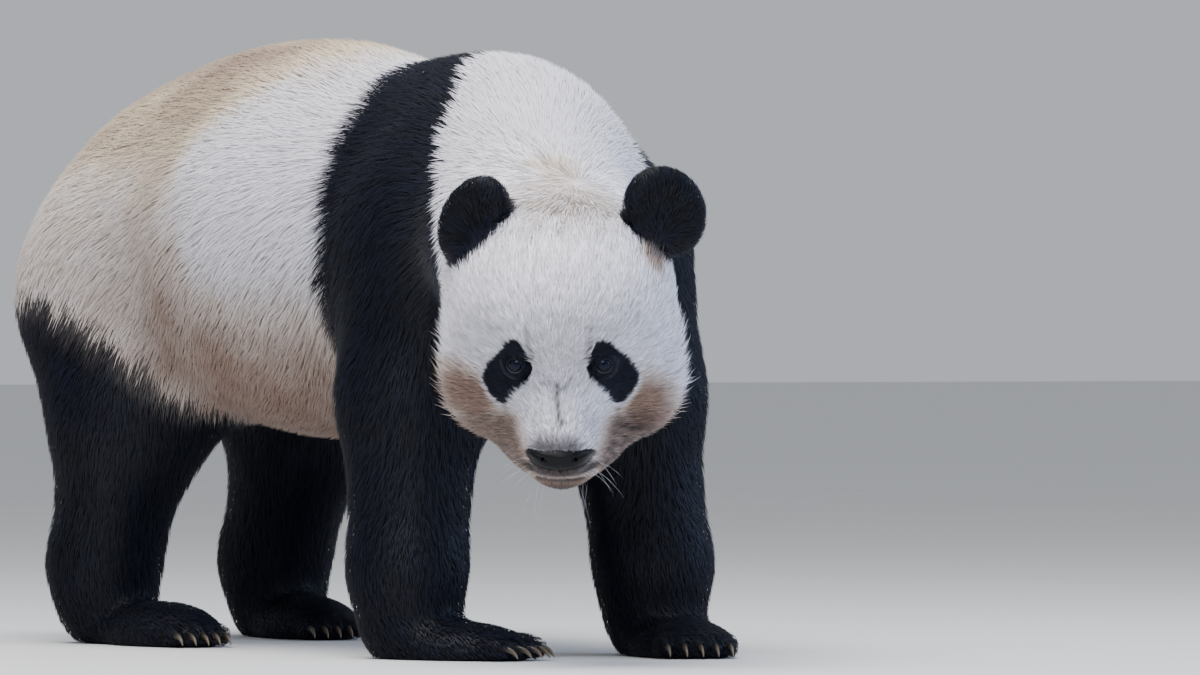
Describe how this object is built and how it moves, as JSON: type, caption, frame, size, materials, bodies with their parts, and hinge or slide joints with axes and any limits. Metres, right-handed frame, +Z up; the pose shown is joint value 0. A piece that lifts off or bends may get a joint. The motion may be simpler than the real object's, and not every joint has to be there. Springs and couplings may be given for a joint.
{
  "type": "giant panda",
  "caption": "Life-size still model of an adult giant panda, standing in a slow walk on four feet with the head lowered and turned to its right.",
  "frame": {"origin": "on the floor, under the centre of the bounding box", "axes": "+Z up, the panda faces -Y with its head turned towards -X, its left side is +X"},
  "size_m": [0.5972, 1.4714, 0.7679],
  "materials": {
    "white_coat": "dense creamy white fur, stained tan on the back, rump and flank",
    "black_coat": "dense black fur with a faint blue sheen",
    "eye": "wet dark brown eye with a clear highlight",
    "nose_leather": "pebbled black nose leather with a soft damp sheen",
    "claw_horn": "dull dark horn, paler at the tip"
  },
  "bodies": {
    "root": {"trunk": "white_coat", "neck": "white_coat", "head": "white_coat", "tail": "white_coat", "ear_left": "black_coat", "ear_right": "black_coat", "eye_left": "eye", "eye_right": "eye", "nose": "nose_leather", "foreleg_left": "black_coat", "forepaw_left": "black_coat", "foreleg_right": "black_coat", "forepaw_right": "black_coat", "hindleg_left": "black_coat", "hindpaw_left": "black_coat", "hindleg_right": "black_coat", "hindpaw_right": "black_coat", "foreclaw_right_1": "claw_horn", "foreclaw_right_2": "claw_horn", "foreclaw_right_3": "claw_horn", "foreclaw_right_4": "claw_horn", "foreclaw_right_5": "claw_horn", "foreclaw_left_1": "claw_horn", "foreclaw_left_2": "claw_horn", "foreclaw_left_3": "claw_horn", "foreclaw_left_4": "claw_horn", "foreclaw_left_5": "claw_horn", "hindclaw_right_1": "claw_horn", "hindclaw_right_2": "claw_horn", "hindclaw_right_3": "claw_horn", "hindclaw_right_4": "claw_horn", "hindclaw_right_5": "claw_horn", "hindclaw_left_1": "claw_horn", "hindclaw_left_2": "claw_horn", "hindclaw_left_3": "claw_horn", "hindclaw_left_4": "claw_horn", "hindclaw_left_5": "claw_horn"}
  },
  "joints": []
}
